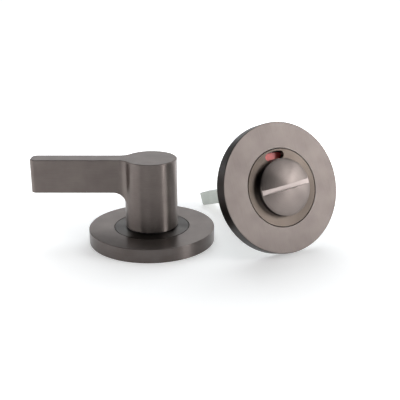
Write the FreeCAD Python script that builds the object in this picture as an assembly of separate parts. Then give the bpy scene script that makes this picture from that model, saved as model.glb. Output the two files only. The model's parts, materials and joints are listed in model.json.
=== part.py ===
import FreeCAD, Part
import math
import os

# Bathroom thumb turn lock, off the door: the inside thumb turn lying flat on the back of
# its rose, and the outside coin release leaning back on the edge of its rose.
# Millimetres and degrees. The origin is the centre of the thumb turn's rose, on the
# surface that its back rests on. +X points away from the lever, +Z up.
# Each half is drawn about its own turning axis, with height 0 at the face of the door.

os.makedirs("parts", exist_ok=True)
V = FreeCAD.Vector

# Cover roses
rose_diameter = 52.0
rose_height = 5.7
rose_wall = 1.5
rose_skirt = 1.6
rose_edge_break = 0.3

# Face cups, the discs that show inside the roses
cup_diameter = 30.8
cup_gap = 0.2
cup_face = 2.2
cup_skirt = 0.6
cup_edge_break = 0.15
cup_seat_depth = 0.4
cup_seat_clearance = 0.05

# Fixing plates
plate_clearance = 0.15
plate_disc_clearance = 0.3
plate_bore_diameter = 21.0
bolt_centres = 38.0
bolt_hole_diameter = 4.3
bolt_head_diameter = 7.0

# Snap rings that hold the covers on the plates
snap_section = 0.8
snap_clearance = 0.05
snap_opening_angle = 30.0

# Bushes and the shanks that turn in them
shank_diameter = 12.0
shank_recess = 0.5
running_clearance = 0.05
bush_wall = 1.0
bush_flange_diameter = 19.2
bush_flange = 0.4
bush_overhang = 0.5
axial_play = 0.1

# Thumb turn lever
lever_top = 35.0
lever_reach = 48.5
lever_height = 13.7
lever_thickness = 7.7
lever_end_round = 2.3
lever_blend = 5.0
lever_edge_break = 0.35
post_diameter = 21.5

# Spindle and its two sockets
spindle_side = 6.0
spindle_corner_round = 0.5
spindle_end_break = 0.4
turn_socket_clearance = 0.1
turn_socket_depth = 14.0
release_socket_clearance = 0.01
release_socket_depth = 6.4

# Wave washers and circlips
washer_thickness = 0.25
washer_wave = 0.1
washer_diameter = 16.8
washer_waves = 3
washer_sections_per_wave = 4
clip_thickness = 0.8
clip_groove_depth = 0.5
clip_groove_clearance = 0.05
clip_width_back = 1.9
clip_width_front = 1.2
clip_ear_radius = 1.2
clip_ear_hole_diameter = 1.2
clip_opening = 2.0

# Coin release
dome_diameter = 22.7
dome_rim_height = 2.4
dome_rise = 2.6
dome_edge_break = 0.2
slot_width = 1.9
slot_depth = 2.4
key_width = 10.0
key_clearance = 0.05

# Indicator window, disc and colour flags
window_outer_radius = 14.6
window_width = 3.1
window_length = 8.7
disc_thickness = 0.8
disc_clearance = 0.3
flag_depth = 0.5
flag_clearance = 0.03
flag_inner_radius = 9.5
flag_rim = 0.3
flag_angle = 70.0
red_middle_angle = 90.0
green_middle_angle = 180.0

# Threaded lugs on the release's plate
lug_diameter = 7.0
lug_length = 6.0
lug_thread_diameter = 3.3
lug_thread_depth = 7.0
lug_spigot_diameter = 5.0
lug_rivet_diameter = 6.4
lug_rivet_height = 0.6
lug_edge_break = 0.3

# How the release lies beside the thumb turn
release_place_x = 49.9
release_place_y = -7.4
release_heading = 27.7
release_lean = 20.45
release_roll = 5.5

# Sizes that follow from the ones above
rose_radius = rose_diameter / 2
cup_radius = cup_diameter / 2
cover_inner_radius = rose_radius - rose_skirt
plate_radius = cover_inner_radius - plate_clearance
plate_bore_radius = plate_bore_diameter / 2
cup_inner_radius = cup_radius - cup_skirt
cup_under = rose_height - cup_face
shank_radius = shank_diameter / 2
bush_inner_radius = shank_radius + running_clearance
bush_outer_radius = bush_inner_radius + bush_wall
bush_end = cup_under - bush_overhang
groove_radius = shank_radius - clip_groove_depth
washer_height = washer_thickness + 2 * washer_wave
post_radius = post_diameter / 2
post_foot = rose_height + bush_flange + axial_play
lever_bottom = lever_top - lever_height
lever_half = lever_thickness / 2
dome_radius = dome_diameter / 2
dome_foot = post_foot
dome_rim = rose_height + dome_rim_height
disc_top = bush_end - axial_play
disc_bottom = disc_top - disc_thickness
plate_thickness = disc_bottom - plate_disc_clearance
cup_foot = plate_thickness - cup_seat_depth
disc_radius = cup_inner_radius - disc_clearance
flag_outer_radius = disc_radius - flag_rim
half_bolts = bolt_centres / 2
snap_radius = (plate_radius + cover_inner_radius) / 2


def flat(u, v):
    """A point of a plan outline."""
    return V(u, v, 0)


def upright(u, v):
    """A point of a turned section: radius and height."""
    return V(u, 0, v)


def outline(corners, plane):
    """A closed wire through (u, v) corners; a third number rounds that corner by an arc."""
    points = [plane(corner[0], corner[1]) for corner in corners]
    stretches = []
    for index, corner in enumerate(corners):
        point = points[index]
        if len(corner) < 3:
            stretches.append((point, None, point))
            continue
        back = (points[index - 1] - point).normalize()
        ahead = (points[(index + 1) % len(points)] - point).normalize()
        half = back.getAngle(ahead) / 2
        reach = corner[2] / math.tan(half)
        inward = (back + ahead).normalize() * (corner[2] / math.sin(half) - corner[2])
        stretches.append((point + back * reach, point + inward, point + ahead * reach))
    edges = []
    for index, (start, middle, end) in enumerate(stretches):
        if middle is not None:
            edges.append(Part.Arc(start, middle, end).toShape())
        following = stretches[(index + 1) % len(stretches)][0]
        if (following - end).Length > 1e-6:
            edges.append(Part.makeLine(end, following))
    return Part.Wire(edges)


def turned(corners):
    """A solid of revolution from (radius, height) corners; a third number breaks that corner."""
    points = []
    for index, corner in enumerate(corners):
        if len(corner) < 3:
            points.append(corner)
            continue
        for other in (corners[index - 1], corners[(index + 1) % len(corners)]):
            run = other[0] - corner[0]
            rise = other[1] - corner[1]
            share = corner[2] / math.hypot(run, rise)
            points.append((corner[0] + run * share, corner[1] + rise * share))
    section = Part.Face(outline(points, upright))
    return section.revolve(V(0, 0, 0), V(0, 0, 1), 360)


def extruded(wire, low, high):
    """A plan outline raised from one height to another."""
    face = Part.Face(wire)
    face.translate(V(0, 0, low))
    return face.extrude(V(0, 0, high - low))


def drum(radius, low, high):
    """A plain upright cylinder between two heights."""
    return Part.makeCylinder(radius, high - low, V(0, 0, low))


def square_bar(side, round_radius, low, high):
    """An upright square bar with rounded corners, centred on the axis."""
    half = side / 2
    signs = [(-1, -1), (1, -1), (1, 1), (-1, 1)]
    corners = [(u * half, v * half, round_radius) for u, v in signs]
    return extruded(outline(corners, flat), low, high)


def arc_band(inner, outer, middle_angle, half_angle, low, high):
    """A sector of a ring with straight radial ends."""
    first = math.radians(middle_angle - half_angle)
    middle = math.radians(middle_angle)
    last = math.radians(middle_angle + half_angle)

    def at(radius, angle):
        return V(radius * math.cos(angle), radius * math.sin(angle), 0)

    edges = [
        Part.Arc(at(outer, first), at(outer, middle), at(outer, last)).toShape(),
        Part.makeLine(at(outer, last), at(inner, last)),
        Part.Arc(at(inner, last), at(inner, middle), at(inner, first)).toShape(),
        Part.makeLine(at(inner, first), at(outer, first)),
    ]
    return extruded(Part.Wire(edges), low, high)


def level_edges(shape, height):
    """The edges that lie wholly at one height."""
    found = []
    for edge in shape.Edges:
        box = edge.BoundBox
        if abs(box.ZMin - height) < 1e-4 and abs(box.ZMax - height) < 1e-4:
            found.append(edge)
    return found


def snap_groove():
    """The groove that the snap ring sits in, half in the cover and half in the plate."""
    half = snap_section / 2 + snap_clearance
    low = plate_thickness / 2 - half
    high = plate_thickness / 2 + half
    return turned([
        (snap_radius - half, low),
        (snap_radius - half, high),
        (snap_radius + half, high),
        (snap_radius + half, low),
    ])


def cover_rose():
    """Turned cover: flat ring face, straight edge, hollow behind, grooved for the snap ring."""
    bore = cup_radius + cup_gap
    under = rose_height - rose_wall
    shell = turned([
        (bore, under),
        (bore, rose_height, cup_edge_break),
        (rose_radius, rose_height, rose_edge_break),
        (rose_radius, 0),
        (cover_inner_radius, 0),
        (cover_inner_radius, under),
    ])
    return shell.cut(snap_groove())


def face_cup():
    """Cup that shows as a disc in the middle of the rose and carries the bush."""
    return turned([
        (bush_outer_radius, cup_under),
        (bush_outer_radius, rose_height),
        (cup_radius, rose_height, cup_edge_break),
        (cup_radius, cup_foot),
        (cup_inner_radius, cup_foot),
        (cup_inner_radius, cup_under),
    ])


def window():
    """The curved sight slot with round ends, as a solid to cut from the face cup."""
    inner = window_outer_radius - window_width
    middle_radius = window_outer_radius - window_width / 2
    end_angle = math.degrees((window_length - window_width) / 2 / middle_radius)
    low = cup_under - 1
    high = rose_height + 1
    slot = arc_band(inner, window_outer_radius, red_middle_angle, end_angle, low, high)
    for side in (-1, 1):
        angle = math.radians(red_middle_angle + side * end_angle)
        end = drum(window_width / 2, low, high)
        end.translate(V(middle_radius * math.cos(angle), middle_radius * math.sin(angle), 0))
        slot = slot.fuse(end)
    return slot


def fixing_plate():
    """Round plate that is bolted to the door: cup seat, wide bore and snap ring groove."""
    seat_outer = cup_radius + cup_seat_clearance
    seat_inner = cup_inner_radius - cup_seat_clearance
    disc = turned([
        (plate_bore_radius, 0),
        (plate_bore_radius, plate_thickness),
        (seat_inner, plate_thickness),
        (seat_inner, cup_foot),
        (seat_outer, cup_foot),
        (seat_outer, plate_thickness),
        (plate_radius, plate_thickness),
        (plate_radius, 0),
    ])
    return disc.cut(snap_groove())


def at_bolts(shape):
    """Two copies of a shape, one at each bolt centre."""
    copies = []
    for side in (-1, 1):
        copy = shape.copy()
        copy.translate(V(side * half_bolts, 0, 0))
        copies.append(copy)
    return copies


def turn_fixing_plate():
    """The thumb turn's plate, with two countersunk holes for the bolts through the door."""
    hole_radius = bolt_hole_diameter / 2
    head_radius = bolt_head_diameter / 2
    sink = head_radius - hole_radius
    cutter = drum(hole_radius, -1, plate_thickness + 1)
    cone = Part.makeCone(hole_radius, head_radius, sink, V(0, 0, plate_thickness - sink))
    plate = fixing_plate()
    for cut in at_bolts(cutter.fuse(cone)):
        plate = plate.cut(cut)
    return plate


def release_fixing_plate():
    """The release's plate, with two holes that the threaded lugs are riveted into."""
    plate = fixing_plate()
    for cut in at_bolts(drum(lug_spigot_diameter / 2, -1, plate_thickness + 1)):
        plate = plate.cut(cut)
    return plate


def bolt_lug():
    """Threaded lug: a round body behind the plate, a spigot through it and a rivet head."""
    spigot = lug_spigot_diameter / 2
    body = turned([
        (0, lug_thread_depth - lug_length),
        (lug_thread_diameter / 2, lug_thread_depth - lug_length - lug_thread_diameter / 2),
        (lug_thread_diameter / 2, -lug_length),
        (lug_diameter / 2, -lug_length, lug_edge_break),
        (lug_diameter / 2, 0),
        (spigot, 0),
        (spigot, plate_thickness),
        (lug_rivet_diameter / 2, plate_thickness),
        (lug_rivet_diameter / 2, plate_thickness + lug_rivet_height),
        (0, plate_thickness + lug_rivet_height),
    ])
    return body


def snap_ring():
    """Open ring of square wire that springs into the grooves of the plate and the cover."""
    half = snap_section / 2
    middle = plate_thickness / 2
    sweep = 360 - snap_opening_angle
    return arc_band(snap_radius - half, snap_radius + half, -90, sweep / 2, middle - half, middle + half)


def bush():
    """Flanged plastic bush pressed in the face cup; the flange lies under the turning foot."""
    flange_top = rose_height + bush_flange
    return turned([
        (bush_inner_radius, bush_end),
        (bush_inner_radius, flange_top),
        (bush_flange_diameter / 2, flange_top),
        (bush_flange_diameter / 2, rose_height),
        (bush_outer_radius, rose_height),
        (bush_outer_radius, bush_end),
    ])


def wave_washer(top):
    """Thin spring washer waved up and down around the ring, below the given height."""
    inner = bush_inner_radius
    outer = washer_diameter / 2
    middle = top - axial_play / 2 - washer_height / 2
    count = washer_waves * washer_sections_per_wave
    sections = []
    for index in range(count):
        angle = 2 * math.pi * index / count
        lift = middle + washer_wave * math.cos(washer_waves * angle)
        low = lift - washer_thickness / 2
        high = lift + washer_thickness / 2
        across = [(inner, low), (outer, low), (outer, high), (inner, high)]
        points = [V(r * math.cos(angle), r * math.sin(angle), z) for r, z in across]
        sections.append(Part.makePolygon(points + points[:1]))
    return Part.makeLoft(sections, True, False, True)


def circlip(top):
    """External circlip: wider behind than at its opening, with two ears for the pliers."""
    low = top - clip_thickness
    inner = groove_radius + clip_groove_clearance
    outer = inner + (clip_width_back + clip_width_front) / 2
    offset = (clip_width_back - clip_width_front) / 2
    ring = drum(outer, low, top)
    ring.translate(V(0, -offset, 0))
    ear_radius_at = inner + clip_ear_radius
    ear_x = clip_opening / 2 + clip_ear_radius
    ear_y = math.sqrt(ear_radius_at ** 2 - ear_x ** 2)
    for side in (-1, 1):
        ear = drum(clip_ear_radius, low, top)
        ear.translate(V(side * ear_x, ear_y, 0))
        ring = ring.fuse(ear)
    ring = ring.cut(drum(inner, low - 1, top + 1))
    height = clip_thickness + 2
    ring = ring.cut(Part.makeBox(clip_opening, 2 * outer, height, V(-clip_opening / 2, 0, low - 1)))
    for side in (-1, 1):
        hole = drum(clip_ear_hole_diameter / 2, low - 1, top + 1)
        hole.translate(V(side * ear_x, ear_y, 0))
        ring = ring.cut(hole)
    return ring


def clip_groove(top):
    """The groove in a shank for a circlip whose upper side is at the given height."""
    low = top - clip_thickness - clip_groove_clearance
    high = top + clip_groove_clearance
    return drum(shank_radius + 1, low, high).cut(drum(groove_radius, low, high))


def turn_clip_top():
    """Upper side of the thumb turn's circlip, under its wave washer."""
    return bush_end - axial_play - washer_height


def release_clip_top():
    """Upper side of the release's circlip, under the disc and its wave washer."""
    return disc_bottom - axial_play - washer_height


def turn_lever():
    """Cast lever and post in one, blended at the joint, with its shank and square socket."""
    post = drum(post_radius, post_foot, lever_top)
    bar = extruded(outline([
        (0, -lever_half),
        (0, lever_half),
        (-lever_reach, lever_half, lever_end_round),
        (-lever_reach, -lever_half, lever_end_round),
    ], flat), lever_bottom, lever_top)
    casting = post.fuse(bar).removeSplitter()
    casting = casting.makeFillet(lever_blend, joint_edges(casting))
    for height in (lever_top, post_foot):
        casting = casting.makeChamfer(lever_edge_break, level_edges(casting, height))
    shank = drum(shank_radius, shank_recess, post_foot)
    side = spindle_side + 2 * turn_socket_clearance
    socket = square_bar(side, spindle_corner_round, 0, shank_recess + turn_socket_depth)
    return casting.fuse(shank).cut(clip_groove(turn_clip_top())).cut(socket)


def joint_edges(casting):
    """The edges where the lever's two sides and its underside meet the round post."""
    edges = []
    for edge in casting.Edges:
        middle = edge.valueAt((edge.FirstParameter + edge.LastParameter) / 2)
        on_post = abs(math.hypot(middle.x, middle.y) - post_radius) < 1e-4
        below_top = middle.z < lever_top - 1e-4
        above_foot = edge.BoundBox.ZMin > lever_bottom - 1e-3
        if on_post and below_top and above_foot and middle.x < 0:
            edges.append(edge)
    return edges


def release_dome():
    """Coin release: low round cap with a slot across it, and a shank keyed to the disc."""
    sphere_radius = (dome_radius ** 2 + dome_rise ** 2) / (2 * dome_rise)
    sphere_centre = dome_rim + dome_rise - sphere_radius
    rim = drum(dome_radius, dome_foot, dome_rim + dome_rise)
    cap = rim.common(Part.makeSphere(sphere_radius, V(0, 0, sphere_centre)))
    cap = cap.makeChamfer(dome_edge_break, level_edges(cap, dome_rim))
    length = dome_diameter + 2
    floor = dome_rim + dome_rise - slot_depth
    cap = cap.cut(Part.makeBox(length, slot_width, dome_rise, V(-length / 2, -slot_width / 2, floor)))
    shank = drum(shank_radius, disc_top, dome_foot)
    key = drum(shank_radius, shank_recess, disc_top)
    key = key.common(Part.makeBox(
        shank_diameter, key_width, rose_height, V(-shank_radius, -key_width / 2, 0)))
    side = spindle_side + 2 * release_socket_clearance
    socket = square_bar(side, spindle_corner_round, 0, shank_recess + release_socket_depth)
    return cap.fuse(shank).fuse(key).cut(clip_groove(release_clip_top())).cut(socket)


def release_spindle():
    """Square spindle: seated in the dome's socket, its far end just clear of the surface."""
    roll = math.radians(release_roll)
    lowest = spindle_side / 2 * (math.cos(roll) + math.sin(roll))
    reach = (rose_radius - lowest) / math.tan(math.radians(release_lean)) + spindle_end_break
    bar = square_bar(spindle_side, spindle_corner_round, -reach, shank_recess + release_socket_depth)
    return bar.makeChamfer(spindle_end_break, level_edges(bar, -reach))


def flag(middle_angle, clearance):
    """One colour flag, or with a negative clearance the pocket that it lies in."""
    inner = flag_inner_radius + clearance
    outer = flag_outer_radius - clearance
    half = flag_angle / 2 - math.degrees(clearance / flag_inner_radius)
    return arc_band(inner, outer, middle_angle, half, disc_top - flag_depth, disc_top)


def indicator_disc():
    """Disc behind the window, keyed on the shank, with a pocket for each colour flag."""
    disc = drum(disc_radius, disc_bottom, disc_top)
    hole = drum(shank_radius + key_clearance, disc_bottom - 1, disc_top + 1)
    width = key_width + 2 * key_clearance
    hole = hole.common(Part.makeBox(
        shank_diameter + 1, width, rose_height, V(-shank_radius - 0.5, -width / 2, 0)))
    disc = disc.cut(hole)
    for angle in (red_middle_angle, green_middle_angle):
        disc = disc.cut(flag(angle, 0))
    return disc


def leaning(shape):
    """A piece of the release half, moved from its own axis to where the half lies."""
    heading = math.radians(release_heading)
    lean = math.radians(release_lean)
    roll = math.radians(release_roll)
    outward = V(math.sin(heading) * math.cos(lean), -math.cos(heading) * math.cos(lean), math.sin(lean))
    level = V(math.cos(heading), math.sin(heading), 0)
    rising = outward.cross(level)
    right = level * math.cos(roll) + rising * math.sin(roll)
    up = rising * math.cos(roll) - level * math.sin(roll)
    place = V(release_place_x, release_place_y, rose_radius * math.cos(lean))
    matrix = FreeCAD.Matrix(
        right.x, up.x, outward.x, place.x,
        right.y, up.y, outward.y, place.y,
        right.z, up.z, outward.z, place.z,
        0, 0, 0, 1)
    moved = shape.copy()
    moved.transformShape(matrix, True)
    return moved


turn_half = {
    "turn_lever": turn_lever(),
    "turn_cover_rose": cover_rose(),
    "turn_face_cup": face_cup(),
    "turn_fixing_plate": turn_fixing_plate(),
    "turn_snap_ring": snap_ring(),
    "turn_bush": bush(),
    "turn_wave_washer": wave_washer(bush_end),
    "turn_circlip": circlip(turn_clip_top()),
}

left_lug, right_lug = at_bolts(bolt_lug())
release_half = {
    "release_dome": release_dome(),
    "release_cover_rose": cover_rose(),
    "release_face_cup": face_cup().cut(window()),
    "release_fixing_plate": release_fixing_plate(),
    "release_snap_ring": snap_ring(),
    "release_bush": bush(),
    "release_wave_washer": wave_washer(disc_bottom),
    "release_circlip": circlip(release_clip_top()),
    "release_spindle": release_spindle(),
    "bolt_lug_left": left_lug,
    "bolt_lug_right": right_lug,
    "indicator_disc": indicator_disc(),
    "indicator_red": flag(red_middle_angle, flag_clearance),
    "indicator_green": flag(green_middle_angle, flag_clearance),
}

for name, shape in turn_half.items():
    shape.exportStep("parts/" + name + ".step")
for name, shape in release_half.items():
    leaning(shape).exportStep("parts/" + name + ".step")
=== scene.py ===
# %% [markdown]
# # Bathroom thumb turn lock
#
# The lock has two halves. The inside half is a lever on a round post, lying on the back of its
# rose. The outside half has a coin slot, a small sight window and a square spindle, and it leans
# back on the edge of its rose. The sizes and places come from a fixed model, which is loaded
# here and never moved. This script only adds finer surfaces, finishes, light and a camera.

# %% Load the fixed frame
import json
import math

import bpy
import numpy as np
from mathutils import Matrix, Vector


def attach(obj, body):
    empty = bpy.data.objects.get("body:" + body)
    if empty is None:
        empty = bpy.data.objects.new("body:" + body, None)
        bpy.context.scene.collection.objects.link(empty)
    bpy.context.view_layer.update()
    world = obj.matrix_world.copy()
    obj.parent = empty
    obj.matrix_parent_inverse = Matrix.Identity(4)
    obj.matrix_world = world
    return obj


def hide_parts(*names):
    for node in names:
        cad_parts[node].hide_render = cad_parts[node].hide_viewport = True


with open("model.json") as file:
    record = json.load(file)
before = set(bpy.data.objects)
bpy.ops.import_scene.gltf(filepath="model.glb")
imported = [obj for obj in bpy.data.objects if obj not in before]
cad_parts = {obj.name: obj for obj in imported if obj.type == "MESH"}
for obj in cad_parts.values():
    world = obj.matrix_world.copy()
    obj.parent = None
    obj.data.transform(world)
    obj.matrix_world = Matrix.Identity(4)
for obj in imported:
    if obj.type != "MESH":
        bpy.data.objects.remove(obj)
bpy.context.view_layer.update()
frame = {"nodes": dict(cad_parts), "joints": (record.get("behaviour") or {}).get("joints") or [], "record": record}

MM = 0.001
print("pieces in the frame:", len(frame["nodes"]))

# %% [markdown]
# ## The two halves
#
# Each half is turned work, so it is easiest to describe about its own axis: right, up and out of
# its rose, with height 0 at the back of the rose. The mount on each back gives the direction
# out, the joint gives the axis, and the mount's own place gives the direction up. Two small
# functions then take points from the frame to a half's own axes and back.

# %% Own axes of each half
mounts = {mount["name"]: mount for mount in frame["record"]["mounts"]}
joints = {joint["name"]: joint for joint in frame["joints"]}


def own_axes(back_name, joint_name):
    """Origin and (right, up, out) rows of a half, from its back mount and its joint."""
    back = np.array(mounts[back_name]["pos_m"])
    out = -np.array(mounts[back_name]["axis"])
    on_axis = np.array(joints[joint_name]["pos_m"])
    origin = on_axis - out * np.dot(on_axis - back, out)
    up = (back - origin) / np.linalg.norm(back - origin)
    return origin, np.array([np.cross(up, out), up, out])


def to_own(points, half):
    """Points of the frame, in a half's own axes."""
    return (points - half[0]) @ half[1].T


def to_frame(points, half):
    """Points in a half's own axes, back in the frame."""
    return points @ half[1] + half[0]


turn_half = own_axes("turn_back", "turn_rotation")
release_half = own_axes("release_back", "release_rotation")
half_of = {name: release_half for name in frame["nodes"]}
half_of.update({name: turn_half for name in frame["nodes"] if name.startswith("turn_")})
print("release leans back", round(math.degrees(math.asin(release_half[1][2, 2])), 1), "degrees")

# %% [markdown]
# Radii and heights are measured on the nodes themselves, so that no size has to be written here a
# second time and the finer pieces follow the model.

# %% Measure a node about its own axis
def node_points(name):
    """All corners of a node's triangles, in its half's own axes."""
    mesh = frame["nodes"][name].data
    points = np.empty(len(mesh.vertices) * 3)
    mesh.vertices.foreach_get("co", points)
    return to_own(points.reshape(-1, 3), half_of[name])


def reach(name):
    """Inner radius, outer radius, lowest and highest height of a turned node."""
    points = node_points(name)
    radius = np.hypot(points[:, 0], points[:, 1])
    return radius.min(), radius.max(), points[:, 2].min(), points[:, 2].max()


rose_bore, rose_radius, _, rose_top = reach("turn_cover_rose")
print("rose", round(2 * rose_radius / MM, 2), "mm across,", round(rose_top / MM, 2), "mm high")

# %% [markdown]
# ## From points to a piece
#
# A metal part looks real only if its flat faces shade flat and its rounded edges shade round.
# Both come from the normals at the corners of its faces. Here each corner takes the average of
# the faces around its point, weighted by their area, but only of those that meet it at a gentle
# angle. A big flat face then keeps its own direction and a narrow break beside it takes up the
# whole turn, which is how a soft machined edge catches the light. Blender's own smooth shading
# weights the faces otherwise, and would bend the big flat ones near their edges.

# %% Corner normals weighted by area
CREASE_DEGREES = 50.0
SMALLEST_LENGTH = 1e-20


def unit_rows(vectors):
    """Each row divided by its length, so that it is 1 long."""
    return vectors / np.maximum(np.linalg.norm(vectors, axis=1), SMALLEST_LENGTH)[:, None]


def face_normals(points, loops, starts):
    """Area-weighted normal of each face: half the sum of the cross products round its edge."""
    counts = np.diff(np.append(starts, len(loops)))
    face = np.repeat(np.arange(len(starts)), counts)
    follow = np.arange(len(loops)) + 1
    last = starts + counts - 1
    follow[last] = starts
    cross = np.cross(points[loops], points[loops[follow]])
    return np.stack([np.bincount(face, cross[:, axis]) for axis in range(3)], 1) / 2, face


def corner_normals(points, loops, starts):
    """Normal of each face corner: the sum over the faces that share its point and turn little."""
    weighted, face = face_normals(points, loops, starts)
    unit = unit_rows(weighted)
    gentlest = math.cos(math.radians(CREASE_DEGREES))
    order = np.argsort(loops, kind="stable")
    sorted_loops = loops[order]
    first = np.searchsorted(sorted_loops, sorted_loops, "left")
    after = np.searchsorted(sorted_loops, sorted_loops, "right")
    total = np.zeros((len(loops), 3))
    # Corners that share a point are neighbours in the sorted order. Each step adds one of them.
    for step in range(int((after - first).max())):
        partner = first + step
        valid = partner < after
        here = order[valid]
        there = order[partner[valid]]
        gentle = (unit[face[here]] * unit[face[there]]).sum(1) > gentlest
        np.add.at(total, here[gentle], weighted[face[there[gentle]]])
    return unit_rows(total)


print("edges stay sharp from", CREASE_DEGREES, "degrees on")

# %% [markdown]
# Brushed metal is full of fine parallel scratches, and they all run one way: round a turned
# part and straight over a flat one. Each corner of a piece stores that as two things. The UV map
# `lay` has its first direction across the scratches, for the stretched gleam. The attribute
# `grain` holds the distance across the scratches and a slow coordinate along them, in metres,
# for the pattern of the scratches itself. Round a turned part the slow coordinate is a point on
# a circle, so the pattern closes without a seam.

# %% Lay of the scratches
FACING = 0.7  # a face looks along an axis where its normal's share of it is more than this
AT_THE_AXIS = 1e-9


def turned_lay(own, normals):
    """Across: radius on faces that look along the axis, else height. Along: round the axis."""
    radius = np.hypot(own[:, 0], own[:, 1])
    flat = np.abs(normals[:, 2]) > FACING
    across = np.where(flat, radius, own[:, 2] + radius.max())
    angle = np.arctan2(own[:, 1], own[:, 0])
    circle = own[:, :2] / np.maximum(radius, AT_THE_AXIS)[:, None] * radius.max()
    return np.stack([across, angle * radius.max()], 1), np.column_stack([across, circle])


print("a face looks along an axis within", round(math.degrees(math.acos(FACING))), "degrees of it")

# %% [markdown]
# Every piece is then made in one place: its points go back to the frame, its body is the one that
# its node is on, and it stands in for that node.

# %% Make a piece
bodies = frame["record"]["behaviour"]["bodies"]
piece_body = {node: body for body, members in bodies.items() for node in members}


def make_piece(name, own, loops, starts, node, lay=turned_lay):
    """Makes a mesh from points in a half's own axes, with its normals, lay and grain."""
    half = half_of[node]
    normals = corner_normals(own, loops, starts)
    weighted, face = face_normals(own, loops, starts)
    uv, grain = lay(own[loops], unit_rows(weighted)[face])
    mesh = bpy.data.meshes.new(name)
    mesh.vertices.add(len(own))
    mesh.vertices.foreach_set("co", to_frame(own, half).ravel())
    mesh.loops.add(len(loops))
    mesh.loops.foreach_set("vertex_index", loops.astype(np.int32))
    mesh.polygons.add(len(starts))
    mesh.polygons.foreach_set("loop_start", starts.astype(np.int32))
    mesh.update(calc_edges=True)
    mesh.polygons.foreach_set("use_smooth", np.ones(len(starts), bool))
    mesh.normals_split_custom_set(normals @ half[1])
    mesh.uv_layers.new(name="lay").uv.foreach_set("vector", uv.ravel())
    stored = mesh.attributes.new("grain", "FLOAT_VECTOR", "CORNER")
    stored.data.foreach_set("vector", grain.ravel())
    piece = bpy.data.objects.new(name, mesh)
    bpy.context.scene.collection.objects.link(piece)
    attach(piece, piece_body[node])
    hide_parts(node)
    print(name, "has", len(starts), "faces")
    return piece


print("bodies:", {body: len(members) for body, members in bodies.items()})

# %% [markdown]
# ## Turned parts
#
# The roses, the plain inner disc and the bushes were turned on a lathe or pressed to the same
# form, so each is one section carried round the axis. The section is a list of corners, and a
# corner may have a radius. The surface is a grid: one parameter walks round the section, the
# other round the axis, and both ends join up, so the piece is closed. The section runs against
# the clock and each face is wound the other way, so that the faces point outwards. A Screw
# modifier on a profile would give the same form, but here the fine steps at the rounded edges
# and the lay of the scratches are worked out with it.

# %% Section with rounded corners
ROUND_STEPS = 6


def rounded_section(corners):
    """Points (radius, height) of a closed section; a third number rounds a corner by an arc.

    The arc's centre lies on the line that halves the corner's angle. Its distance from the
    corner is the arc's radius over the sine of half the angle. The arc starts at the radius over
    the tangent of half the angle.
    """
    points = []
    for index, corner in enumerate(corners):
        here = np.array(corner[:2])
        if len(corner) < 3:
            points.append(here)
            continue
        back = np.array(corners[index - 1][:2]) - here
        ahead = np.array(corners[(index + 1) % len(corners)][:2]) - here
        back /= np.linalg.norm(back)
        ahead /= np.linalg.norm(ahead)
        half = math.acos(np.clip(np.dot(back, ahead), -1, 1)) / 2
        centre = here + (back + ahead) / np.linalg.norm(back + ahead) * corner[2] / math.sin(half)
        start = here + back * corner[2] / math.tan(half) - centre
        end = here + ahead * corner[2] / math.tan(half) - centre
        turn = math.atan2(start[0] * end[1] - start[1] * end[0], np.dot(start, end))
        angle = np.linspace(0, turn, ROUND_STEPS)[:, None]
        normal = np.array([-start[1], start[0]])
        points.extend(centre + start * np.cos(angle) + normal * np.sin(angle))
    return np.array(points)


print("a rounded corner has", ROUND_STEPS, "points")

# %% Section carried round the axis
TURN_STEPS = 288


def turned_piece(name, node, corners, lay=turned_lay):
    """One closed section round the axis: x = r cos t, y = r sin t, z = h, on a closed grid."""
    section = rounded_section(corners)
    angle = np.arange(TURN_STEPS) * 2 * math.pi / TURN_STEPS
    radius, height = section[:, :1], section[:, 1:]
    grid = np.stack([radius * np.cos(angle), radius * np.sin(angle), height + 0 * angle], -1)
    row = np.arange(len(section))[:, None]
    column = np.arange(TURN_STEPS)[None, :]
    next_row = (row + 1) % len(section)
    next_column = (column + 1) % TURN_STEPS
    corners_of = [(row, column), (row, next_column), (next_row, next_column), (next_row, column)]
    quads = np.stack([r * TURN_STEPS + c for r, c in corners_of], -1)
    loops = quads.reshape(-1)
    return make_piece(name, grid.reshape(-1, 3), loops, np.arange(0, len(loops), 4), node, lay)


print("a turned piece has", TURN_STEPS, "steps round its axis")

# %% [markdown]
# The ring face of a rose was brushed on a flat belt, so its scratches are straight and one tone
# runs over the whole ring. Scratches round the axis would show two bright wedges there instead.
# They run from left to right on the rose that lies flat, and upwards on the other.

# %% Roses
ROSE_WALL = 1.5 * MM
ROSE_SKIRT = 1.6 * MM
ROSE_EDGE = 0.3 * MM
ROSE_FOOT_EDGE = ROSE_EDGE / 3
BORE_EDGE = 0.15 * MM
GROOVE_PLAY = 0.05 * MM


def rose_section(ring_node):
    """Corners of a rose: ring face, straight side, hollow back and the snap ring's groove."""
    _, ring_radius, ring_low, ring_high = reach(ring_node)
    inner = rose_radius - ROSE_SKIRT
    under = rose_top - ROSE_WALL
    groove = ring_radius + GROOVE_PLAY
    low, high = ring_low - GROOVE_PLAY, ring_high + GROOVE_PLAY
    return [
        (rose_bore, under), (inner, under), (inner, high), (groove, high), (groove, low),
        (inner, low), (inner, 0), (rose_radius, 0, ROSE_FOOT_EDGE),
        (rose_radius, rose_top, ROSE_EDGE), (rose_bore, rose_top, BORE_EDGE),
    ]


def straight_face(across):
    """A lay: straight over the ring face, across axis 0 or 1, and round the axis elsewhere."""
    def lay(own, normals):
        uv, grain = turned_lay(own, normals)
        face = normals[:, 2] > FACING
        uv[face] = own[face][:, [across, 1 - across]]
        grain[face] = np.column_stack([uv[face], np.zeros(face.sum())])
        return uv, grain
    return lay


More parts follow.
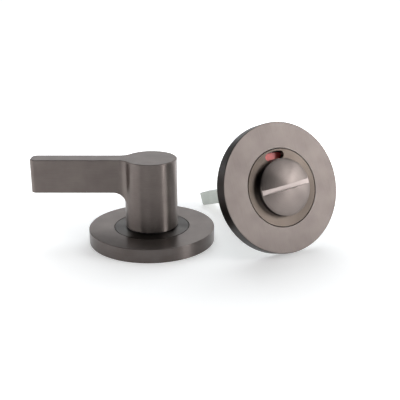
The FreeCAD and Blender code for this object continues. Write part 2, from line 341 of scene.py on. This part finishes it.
turn_rose = turned_piece(
    "turn_rose", "turn_cover_rose", rose_section("turn_snap_ring"), straight_face(across=1))
release_rose = turned_piece(
    "release_rose", "release_cover_rose", rose_section("release_snap_ring"),
    straight_face(across=0))

# %% [markdown]
# The inner disc is a shallow cup that fills the bore of the rose, and the bush is the thin
# flanged sleeve that the post turns in. Both are sections of the same kind.

# %% Inner disc of the thumb turn, and the bushes
CUP_WALL = 2.2 * MM
CUP_SKIRT = 0.6 * MM
cup_bore, cup_radius, cup_low, cup_high = reach("turn_face_cup")

turn_disc = turned_piece("turn_disc", "turn_face_cup", [
    (cup_bore, cup_high - CUP_WALL), (cup_radius - CUP_SKIRT, cup_high - CUP_WALL),
    (cup_radius - CUP_SKIRT, cup_low), (cup_radius, cup_low),
    (cup_radius, cup_high, BORE_EDGE), (cup_bore, cup_high),
])


def bush_piece(name, node):
    """A flanged bush: a thin sleeve with a flat flange on top."""
    bore, flange, low, high = reach(node)
    return turned_piece(name, node, [
        (bore, low), (cup_bore, low), (cup_bore, cup_high), (flange, cup_high),
        (flange, high, BORE_EDGE), (bore, high),
    ])


turn_sleeve = bush_piece("turn_sleeve", "turn_bush")
release_sleeve = bush_piece("release_sleeve", "release_bush")

# %% [markdown]
# ## Pieces that keep their solid's own shape
#
# The lever with its blend into the post, the slotted dome, the pierced disc and the small steel
# parts already have their exact form in the frame. To model them again by hand would only bring
# them away from it. Their triangles are loose, so each would shade as flat facets. A copy is
# welded at equal points and gets the same kind of corner normals, lay and grain as the turned
# parts.

# %% Welded copy of a node
WELD_GRID = 1e-7


def welded_copy(name, node, lay=turned_lay):
    """Joins a node's equal points, drops faces that fold to nothing and makes a piece of it."""
    mesh = frame["nodes"][node].data
    own = node_points(node)
    corner = np.empty(len(mesh.loops), np.int64)
    mesh.loops.foreach_get("vertex_index", corner)
    _, first, number = np.unique(
        np.round(own / WELD_GRID).astype(np.int64), axis=0, return_index=True, return_inverse=True)
    faces = number.ravel()[corner].reshape(-1, 3)
    whole = (faces != np.roll(faces, 1, axis=1)).all(1)
    loops = faces[whole].reshape(-1)
    return make_piece(name, own[first], loops, np.arange(0, len(loops), 3), node, lay)


print("points are joined on a grid of", WELD_GRID / MM, "mm")

# %% [markdown]
# The lever is one casting of two forms, and it was brushed as such: along the flat bar and its
# top, and round the post. The bar begins a little outside the post.

# %% Lever, dome and pierced disc
BLEND_MARGIN = 2.0 * MM


def lever_lay(own, normals):
    """Along the lever on its bar and top, and round the axis on the post, shank and feet."""
    uv, grain = turned_lay(own, normals)
    bar = (own[:, 0] < -bar_start) | ((normals[:, 2] > FACING) & (own[:, 2] > bar_low))
    up_facing = np.abs(normals[:, 2]) > FACING
    end_facing = np.abs(normals[:, 0]) > FACING
    across = np.where(up_facing, own[:, 1], own[:, 2])
    along = np.where(end_facing & ~up_facing, own[:, 1], own[:, 0])
    uv[bar] = np.stack([across, along], 1)[bar]
    grain[bar] = np.column_stack([across, along, np.zeros(len(own))])[bar]
    return uv, grain


# The far half of the lever gives the underside of the bar. To the right there is only the post,
# so the reach to that side is its radius.
lever_points = node_points("turn_lever")
bar_low = lever_points[lever_points[:, 0] < lever_points[:, 0].min() / 2][:, 2].min()
bar_start = lever_points[:, 0].max() + BLEND_MARGIN
lever = welded_copy("lever", "turn_lever", lever_lay)
dome = welded_copy("dome", "release_dome")
sight_disc = welded_copy("sight_disc", "release_face_cup")

# %% [markdown]
# The spindle is drawn square bar, so its scratches run along it and straight across its sawn
# end. The plates, rings, washers, lugs and flags sit behind the roses. Some of them show from
# the back, and the red flag shows in the window.

# %% Spindle and the small parts behind the roses
def bar_lay(own, normals):
    """Along the axis on the four sides of the bar, and straight across its end."""
    sides = np.abs(normals[:, 2]) < FACING
    across = np.where(sides & (np.abs(normals[:, 0]) > FACING), own[:, 1], own[:, 0])
    along = np.where(sides, own[:, 2], own[:, 1])
    return np.stack([across, along], 1), np.column_stack([across, along, 0 * along])


spindle = welded_copy("spindle", "release_spindle", bar_lay)
small_parts = {
    node: welded_copy(node + "_part", node)
    for node in sorted(frame["nodes"])
    if node.endswith(("_plate", "_ring", "_washer", "_circlip", "_left", "_right"))
    or node.startswith("indicator_")
}

# %% [markdown]
# ## Finishes
#
# One function turns a paint-shop hex colour into the linear numbers that a renderer works with,
# and one adds a node with its settings and links. Every finish below is then a short recipe.

# %% Colour and node helpers
def linear(hex_colour):
    """Linear red, green, blue and alpha of an sRGB hex colour.

    Each part is raised to the power 2.4, after a small offset, and very dark ones are divided.
    """
    parts = np.array([int(hex_colour[start:start + 2], 16) for start in (0, 2, 4)]) / 255
    bright = ((parts + 0.055) / 1.055) ** 2.4
    return (*np.where(parts <= 0.04045, parts / 12.92, bright), 1.0)


def add(tree, kind, inputs=None, **settings):
    """Adds one node: settings are its options, inputs are sockets to link or to set."""
    node = tree.nodes.new(kind)
    for key, value in settings.items():
        setattr(node, key, value)
    for key, value in (inputs or {}).items():
        if isinstance(value, bpy.types.NodeSocket):
            tree.links.new(value, node.inputs[key])
        else:
            node.inputs[key].default_value = value
    return node


def new_material(name):
    """A material with no nodes yet, and its node tree."""
    material = bpy.data.materials.new(name)
    material.use_nodes = True
    material.node_tree.nodes.clear()
    return material, material.node_tree


print("the middle grey 808080 is", round(float(linear("808080")[0]), 3), "in linear light")

# %% [markdown]
# ### Brushed metals
#
# The set is plated in satin graphite, a dark warm grey nickel. The metal was brushed before
# plating, so the plating keeps fine scratches. Three things show them: the colour changes a
# little from scratch to scratch, so does the roughness, and a very low bump breaks the gleam.
# The real scratches are about 0.03 mm apart. They are drawn about 0.12 mm apart, because finer
# ones would vanish in the picture. The gleam is stretched across the scratches by anisotropy.
# A noise that is stretched along the stored lay does this without an image, and never repeats.
#
# The dome is polished a little finer, so its scratches are shallower and its gleam is longer.
# The pierced disc took the plating a little darker than the roses. The disc under the post is painted nearly black
# brown: painted shade and dark reflection of the post.

# %% Brushed metal recipe
SCRATCH_WIDTH = 0.12 * MM
SCRATCH_LENGTH = 9.0 * MM
SCRATCH_DEPTH = 0.01 * MM
CLOUD_SIZE = 7.0 * MM
NOISE_LOW, NOISE_HIGH = 0.3, 0.7  # between these lies nearly all of a noise
TWO_NOISES_LOW, TWO_NOISES_HIGH = 0.7, 1.3  # and nearly all of the sum of two
ROUGHNESS_SHARE = 0.6


def brushed_metal(name, dark, light, roughness, stretch, relief):
    """A metal with scratches that follow the lay; relief is how strongly they show."""
    material, tree = new_material(name)
    grain = add(tree, "ShaderNodeAttribute", attribute_name="grain").outputs["Vector"]
    scale = (1 / SCRATCH_WIDTH, 1 / SCRATCH_LENGTH, 1 / SCRATCH_LENGTH)
    fine = add(tree, "ShaderNodeMapping", {"Vector": grain, "Scale": scale}).outputs["Vector"]
    scratches = add(tree, "ShaderNodeTexNoise", {
        "Vector": fine, "Scale": 1.0, "Detail": 3.0, "Roughness": 0.6}).outputs["Fac"]
    place = add(tree, "ShaderNodeTexCoord").outputs["Object"]
    clouds = add(tree, "ShaderNodeTexNoise", {
        "Vector": place, "Scale": 1 / CLOUD_SIZE, "Detail": 2.0}).outputs["Fac"]
    mixed = add(tree, "ShaderNodeMath", {0: scratches, 1: clouds}, operation="ADD").outputs[0]
    share = add(tree, "ShaderNodeMapRange", {
        "Value": mixed, "From Min": TWO_NOISES_LOW,
        "From Max": TWO_NOISES_HIGH}).outputs["Result"]
    colour = add(tree, "ShaderNodeMix", {
        "Factor": share, "A": linear(dark), "B": linear(light)}, data_type="RGBA").outputs[2]
    rough = add(tree, "ShaderNodeMapRange", {
        "Value": scratches, "From Min": NOISE_LOW, "From Max": NOISE_HIGH,
        "To Min": roughness * (1 - ROUGHNESS_SHARE * relief),
        "To Max": roughness * (1 + ROUGHNESS_SHARE * relief)}).outputs["Result"]
    bump = add(tree, "ShaderNodeBump", {
        "Height": scratches, "Strength": relief, "Distance": SCRATCH_DEPTH}).outputs["Normal"]
    tangent = add(tree, "ShaderNodeTangent", direction_type="UV_MAP", uv_map="lay").outputs[0]
    shader = add(tree, "ShaderNodeBsdfPrincipled", {
        "Base Color": colour, "Metallic": 1.0, "Roughness": rough,
        "Anisotropic": stretch, "Tangent": tangent, "Normal": bump})
    add(tree, "ShaderNodeOutputMaterial", {"Surface": shader.outputs[0]})
    return material


print("scratches", SCRATCH_WIDTH / MM, "mm apart and", SCRATCH_LENGTH / MM, "mm long")

# %% Metals of the set
# Graphite nickel on belt-brushed metal: satin and warm, with a gleam across the scratches.
graphite = brushed_metal(
    "brushed_graphite_nickel", "6a625f", "78706c", roughness=0.37, stretch=0.95, relief=0.25)
# The same on the pierced disc, which took more of the plating: a little darker and browner.
disc_graphite = brushed_metal(
    "brushed_graphite_nickel_disc", "5a514b", "665d56", roughness=0.37, stretch=0.95, relief=0.25)
# The same on the dome, polished finer: a clear, long gleam with hardly a scratch in it.
dome_graphite = brushed_metal(
    "brushed_graphite_nickel_dome", "6a625f", "78706c", roughness=0.31, stretch=1.0, relief=0.05)
# The same on the disc under the post, nearly black brown: painted shade, for the shadow and dark reflection of the
# post on it.
painted_post_shade_graphite = brushed_metal(
    "brushed_graphite_nickel_painted_post_shade", "413c39", "4c4744", roughness=0.37, stretch=0.95, relief=0.25)
# Graphite nickel on a turned side, brushed only lightly, so its gleam is rounder; its darker colour is painted
# shade, for the dark floor and room that it reflects.
painted_side_shade_graphite = brushed_metal(
    "graphite_nickel_side_painted_shade", "5c5552", "686260", roughness=0.34, stretch=0.80, relief=0.15)
# Graphite nickel painted the darkest: painted shade, for the shaded floor under the leaning rose and the dark room
# that these sides reflect.
painted_dark_shade_graphite = brushed_metal(
    "graphite_nickel_darkest_painted_shade", "35312f", "403b3a", roughness=0.34, stretch=0.80, relief=0.15)
# Bare metal at the floor of the milled slot: bright, with an even soft gleam.
slot_metal = brushed_metal(
    "bright_machined_slot", "7b7370", "8a817e", roughness=0.38, stretch=0.30, relief=0.20)
# Steel plated with zinc and passivated clear: pale and slightly green, with a dull gleam.
zinc = brushed_metal(
    "passivated_zinc", "a4a8a2", "b8bcb6", roughness=0.42, stretch=0.20, relief=0.30)
# Spring steel, stamped and oiled: neutral dark grey, with a soft gleam.
spring_steel = brushed_metal(
    "oiled_spring_steel", "5c5c5e", "6c6c6e", roughness=0.35, stretch=0.30, relief=0.20)
print("metals:", [material.name for material in bpy.data.materials])

# %% [markdown]
# ### Plastics
#
# The bushes and the disc behind the window are moulded plastic, and the two flags are moulded in
# colour. Moulded plastic is smooth with a faint orange peel, so a fine noise moves the roughness
# a little and lifts the surface by a few thousandths of a millimetre.

# %% Moulded plastic recipe
PEEL_SIZE = 0.35 * MM
PEEL_DEPTH = 0.005 * MM
PEEL_STRENGTH = 0.2
PEEL_ROUGHNESS = 0.06


def moulded_plastic(name, colour, roughness):
    """A plain coloured plastic with the faint peel of its mould."""
    material, tree = new_material(name)
    place = add(tree, "ShaderNodeTexCoord").outputs["Object"]
    peel = add(tree, "ShaderNodeTexNoise", {
        "Vector": place, "Scale": 1 / PEEL_SIZE}).outputs["Fac"]
    rough = add(tree, "ShaderNodeMapRange", {
        "Value": peel, "To Min": roughness - PEEL_ROUGHNESS,
        "To Max": roughness + PEEL_ROUGHNESS}).outputs["Result"]
    bump = add(tree, "ShaderNodeBump", {
        "Height": peel, "Strength": PEEL_STRENGTH, "Distance": PEEL_DEPTH}).outputs["Normal"]
    shader = add(tree, "ShaderNodeBsdfPrincipled", {
        "Base Color": linear(colour), "Roughness": rough, "IOR": 1.5, "Normal": bump})
    add(tree, "ShaderNodeOutputMaterial", {"Surface": shader.outputs[0]})
    return material


# Moulded nylon of the bushes: black and matt.
black_nylon = moulded_plastic("black_nylon", "1c1b1b", roughness=0.5)
# Moulded acetal of the carrier disc: black with a waxy sheen.
black_acetal = moulded_plastic("black_acetal", "1f1e1e", roughness=0.4)
# Plastic coloured right through, of the flags: bright, and a little glossy.
red_flag = moulded_plastic("red_flag_plastic", "fb5b55", roughness=0.35)
green_flag = moulded_plastic("green_flag_plastic", "3f9a4c", roughness=0.35)
print("metals and plastics:", len(bpy.data.materials))

# %% [markdown]
# Each piece gets one material. The small parts are told apart by the endings of their names.

# %% Give each piece its finish
def dress(piece, material):
    """Sets a piece's only material."""
    piece.data.materials.clear()
    piece.data.materials.append(material)


for piece in (turn_rose, release_rose, lever):
    dress(piece, graphite)
# The disc under the post takes the painted shade of the post.
dress(turn_disc, painted_post_shade_graphite)
dress(sight_disc, disc_graphite)
dress(dome, dome_graphite)
for piece in (turn_sleeve, release_sleeve):
    dress(piece, black_nylon)
dress(spindle, zinc)
finishes = [
    (("_plate", "_left", "_right"), zinc, "zinc_plate"),
    (("_ring", "_washer", "_circlip"), spring_steel, "spring_steel"),
    (("_disc",), black_acetal, "carrier_plastic"),
    (("_red",), red_flag, "flag_red"),
    (("_green",), green_flag, "flag_green"),
]
for node, piece in small_parts.items():
    for endings, material, slot in finishes:
        if node.endswith(endings):
            dress(piece, material)
print("small parts dressed:", len(small_parts))

# %% [markdown]
# ### Faces with a finish or painted shade of their own
#
# The sides of the roses and of the dome are painted darker than the flat faces: painted shade, for the dark floor
# and room that they reflect. The side of the rose that lies flat is a little darker, and the sides of the other
# rose and of the dome are the darkest. The coin slot was milled last, so its floor is bright bare metal. Each
# piece stays whole, and the chosen faces alone take the second material. They are found by where they lie and
# which way they look.

# %% Second material for chosen faces: painted shade and the bright slot
SLOT_DEPTH = 2.4 * MM
NEAR = 0.05 * MM
SIDEWAYS = 0.5
STRAIGHT_OUT = 0.99
DOME_SIDE_SHARE = 0.9


def own_faces(piece, node):
    """Radius and height of the middle of each face, and how far it looks out of the rose."""
    half = half_of[node]
    polygons = piece.data.polygons
    centres = np.empty(len(polygons) * 3)
    polygons.foreach_get("center", centres)
    normals = np.empty(len(polygons) * 3)
    polygons.foreach_get("normal", normals)
    own = to_own(centres.reshape(-1, 3), half)
    return np.hypot(own[:, 0], own[:, 1]), own[:, 2], normals.reshape(-1, 3) @ half[1][2]


def refinish(piece, chosen, material):
    """Adds a material to a piece and gives it to the chosen faces."""
    index = np.zeros(len(piece.data.polygons), np.int32)
    piece.data.polygons.foreach_get("material_index", index)
    index[chosen] = len(piece.data.materials)
    piece.data.materials.append(material)
    piece.data.polygons.foreach_set("material_index", index)
    print(piece.name, "has", int(chosen.sum()), "faces in", material.name)


# The sides of the roses are painted darker than their faces: painted shade for the dark floor and room that they
# reflect.
for piece, node, finish in (
        (turn_rose, "turn_cover_rose", painted_side_shade_graphite),
        (release_rose, "release_cover_rose", painted_dark_shade_graphite)):
    radius, _, outward = own_faces(piece, node)
    refinish(piece, (radius > rose_radius - NEAR) & (np.abs(outward) < SIDEWAYS), finish)
_, dome_radius, _, dome_top = reach("release_dome")
radius, height, outward = own_faces(dome, "release_dome")
# The side of the dome takes the darkest painted shade, for the dark things that it reflects.
dome_side_painted_shade = (radius > DOME_SIDE_SHARE * dome_radius) & (np.abs(outward) < SIDEWAYS)
slot_floor = (np.abs(height - dome_top + SLOT_DEPTH) < NEAR) & (outward > STRAIGHT_OUT)
refinish(dome, dome_side_painted_shade, painted_dark_shade_graphite)
refinish(dome, slot_floor, slot_metal)

# %% [markdown]
# ## Floor and light
#
# The set stands on a white sheet. The sheet is a plain matt white, which keeps the soft shadow.
# A light of its own, for what looks at it directly or in a reflection, lifts it to the white of
# the background. More lamps would make it white too, but they would bleach the metal. The lift
# is weaker close to the set, so that the shadow stays soft and grey, and full further out.

# %% Sheet under the set
SET_MIDDLE = (0.03, -0.005, 0.02)
SHEET_SIZE = 6.0


def white_sheet():
    """A large flat sheet under the set."""
    half = SHEET_SIZE / 2
    corners = [(-half, -half, 0), (half, -half, 0), (half, half, 0), (-half, half, 0)]
    mesh = bpy.data.meshes.new("white_sheet")
    mesh.from_pydata(corners, [], [(0, 1, 2, 3)])
    sheet = bpy.data.objects.new("white_sheet", mesh)
    bpy.context.scene.collection.objects.link(sheet)
    print("white sheet", SHEET_SIZE, "m across")
    return sheet


sheet = white_sheet()

# %% White of the sheet
PAPER_WHITE = "ececec"
LIFT_NEAR = 0.38
LIFT_FAR = 1.0
LIFT_START = 0.02
LIFT_END = 0.16


def seen_rays(tree):
    """1 for rays from the camera, from a gleam or through glass, 0 for other rays."""
    path = add(tree, "ShaderNodeLightPath").outputs
    some = add(tree, "ShaderNodeMath", {
        0: path["Is Camera Ray"], 1: path["Is Glossy Ray"]}, operation="MAXIMUM").outputs[0]
    return add(tree, "ShaderNodeMath", {
        0: some, 1: path["Is Transmission Ray"]}, operation="MAXIMUM").outputs[0]


# Uncoated white paper: fully matt.
paper, tree = new_material("matt_white_paper")
matt = add(tree, "ShaderNodeBsdfDiffuse", {"Color": linear(PAPER_WHITE)}).outputs[0]
place = add(tree, "ShaderNodeTexCoord").outputs["Object"]
distance = add(tree, "ShaderNodeVectorMath", {
    0: place, 1: (SET_MIDDLE[0], SET_MIDDLE[1], 0)}, operation="DISTANCE").outputs["Value"]
level = add(tree, "ShaderNodeMapRange", {
    "Value": distance, "From Min": LIFT_START, "From Max": LIFT_END,
    "To Min": LIFT_NEAR, "To Max": LIFT_FAR}, interpolation_type="SMOOTHSTEP").outputs["Result"]
lift = add(tree, "ShaderNodeMath", {
    0: seen_rays(tree), 1: level}, operation="MULTIPLY").outputs[0]
glow = add(tree, "ShaderNodeEmission", {"Color": (1, 1, 1, 1), "Strength": lift}).outputs[0]
both = add(tree, "ShaderNodeAddShader", {0: matt, 1: glow}).outputs[0]
add(tree, "ShaderNodeOutputMaterial", {"Surface": both})
sheet.data.materials.append(paper)
print("sheet lifted by", LIFT_NEAR, "at the set and", LIFT_FAR, "further out")

# %% [markdown]
# The sheet ends at the horizon, and the paper behind it rises on as white and fades into the dim
# room. This too shows only to what looks at it directly, in a gleam or through glass.

# %% World
ROOM_LEVEL = 0.02
FADE_START_DEGREES = 2.0
FADE_END_DEGREES = 14.0

world = bpy.data.worlds.new("studio")
bpy.context.scene.world = world
world.use_nodes = True
tree = world.node_tree
tree.nodes.clear()
direction = add(tree, "ShaderNodeTexCoord").outputs["Generated"]
rise = add(tree, "ShaderNodeSeparateXYZ", {"Vector": direction}).outputs["Z"]
fade = add(tree, "ShaderNodeMapRange", {
    "Value": rise, "From Min": math.sin(math.radians(FADE_START_DEGREES)),
    "From Max": math.sin(math.radians(FADE_END_DEGREES)),
    "To Min": 1.0 - ROOM_LEVEL, "To Max": 0.0},
    interpolation_type="SMOOTHSTEP").outputs["Result"]
room = add(tree, "ShaderNodeMath", {
    0: seen_rays(tree), 1: fade, 2: ROOM_LEVEL}, operation="MULTIPLY_ADD").outputs[0]
back = add(tree, "ShaderNodeBackground", {"Color": (1, 1, 1, 1), "Strength": room}).outputs[0]
add(tree, "ShaderNodeOutputWorld", {"Surface": back})
print("room level", ROOM_LEVEL, "above", FADE_END_DEGREES, "degrees")

# %% [markdown]
# The room itself is dim, and a few soft boxes make the gleams, because satin metal looks flat
# under light from everywhere. Each shows in one kind of face.
# The key on the right lights the release and the sheet, and a weaker one above it the upper half
# of the dome. A low key lights the thumb turn alone, and draws the bright line down its post.
# Both are linked to their pieces: the key would turn the top of the lever white where it is seen
# from the left, and the release would throw a shadow of the low key on the post. The long strip
# on the left and the short one in front light the side of the lever and the left of the post.
# The back box, which is a little cool, and the top box light everything that looks up. The edge
# box at the back right lights the right edge of the post.

# %% Soft box and its pieces
LAMP_DISTANCE = 0.9
COOL_WHITE = (0.92, 0.97, 1.0)


def group(name, pieces):
    """A collection that holds some pieces, for a lamp to be linked to."""
    collection = bpy.data.collections.new(name)
    for piece in pieces:
        collection.objects.link(piece)
    return collection


def soft_box(name, azimuth, elevation, width, height, radiance, lit=None, shading=None):
    """A lamp that faces the set; azimuth runs from the front to the right, in degrees.

    Its power is pi times its area times its radiance. It lights only the pieces of lit, and only
    those of shading stop its light, or all of them where that is None.
    """
    turn, rise = math.radians(azimuth), math.radians(elevation)
    level = math.cos(rise)
    out = Vector((math.sin(turn) * level, -math.cos(turn) * level, math.sin(rise)))
    lamp = bpy.data.lights.new(name, "AREA")
    lamp.shape = "RECTANGLE"
    lamp.size = width
    lamp.size_y = height
    lamp.energy = math.pi * width * height * radiance
    box = bpy.data.objects.new(name, lamp)
    box.location = Vector(SET_MIDDLE) + LAMP_DISTANCE * out
    box.rotation_euler = (-out).to_track_quat("-Z", "Y").to_euler()
    box.visible_camera = False
    box.light_linking.receiver_collection = lit
    box.light_linking.blocker_collection = shading
    bpy.context.scene.collection.objects.link(box)
    print(name, "at", azimuth, "and", elevation, "degrees")
    return box


print("lamps stand", LAMP_DISTANCE, "m from the middle of the set")

# %% Soft boxes round the set
turn_pieces = group("turn_pieces", (turn_rose, turn_disc, turn_sleeve, lever))
other_pieces = group("other_pieces", (
    release_rose, release_sleeve, dome, sight_disc, spindle, *small_parts.values(), sheet))
# Azimuth and elevation in degrees, width and height in metres, then the radiance.
soft_box("key_box", 75, 18, 0.42, 0.36, 8.0, lit=other_pieces)
soft_box("high_key_box", 68, 38, 0.50, 0.45, 1.2)
soft_box("turn_key_box", 64, 6, 0.26, 0.30, 12.0, lit=turn_pieces, shading=turn_pieces)
soft_box("left_strip", -82, 8, 1.30, 0.25, 2.3)
soft_box("front_strip", -18, 8, 0.40, 0.25, 0.5)
soft_box("top_box", 0, 84, 0.80, 0.80, 0.4)
back_box = soft_box("back_box", 180, 45, 0.90, 0.80, 2.5)
back_box.data.color = COOL_WHITE
soft_box("edge_box", 140, 10, 0.32, 0.30, 4.2)

# %% [markdown]
# ## Camera
#
# The camera stands in front of the set, a little above it, and looks along +Y and down. Its
# place and lens were fitted to the edges of both roses in the picture.

# %% Camera
CAMERA_PLACE = (20.05 * MM, -276.1 * MM, 113.4 * MM)
CAMERA_DOWN_DEGREES = 19.27
FOCAL_PIXELS = 708.55
IMAGE_PIXELS = 400
SENSOR_WIDTH = 36.0
NEAREST_SEEN = 10.0 * MM

lens = bpy.data.cameras.new("camera")
lens.sensor_width = SENSOR_WIDTH
lens.lens = FOCAL_PIXELS / IMAGE_PIXELS * SENSOR_WIDTH
lens.clip_start = NEAREST_SEEN
camera = bpy.data.objects.new("camera", lens)
camera.location = CAMERA_PLACE
camera.rotation_euler = (math.radians(90 - CAMERA_DOWN_DEGREES), 0, 0)
bpy.context.scene.collection.objects.link(camera)
bpy.context.scene.camera = camera
bpy.context.scene.view_settings.view_transform = "Standard"
print("lens", round(lens.lens, 2), "mm,", CAMERA_DOWN_DEGREES, "degrees down")
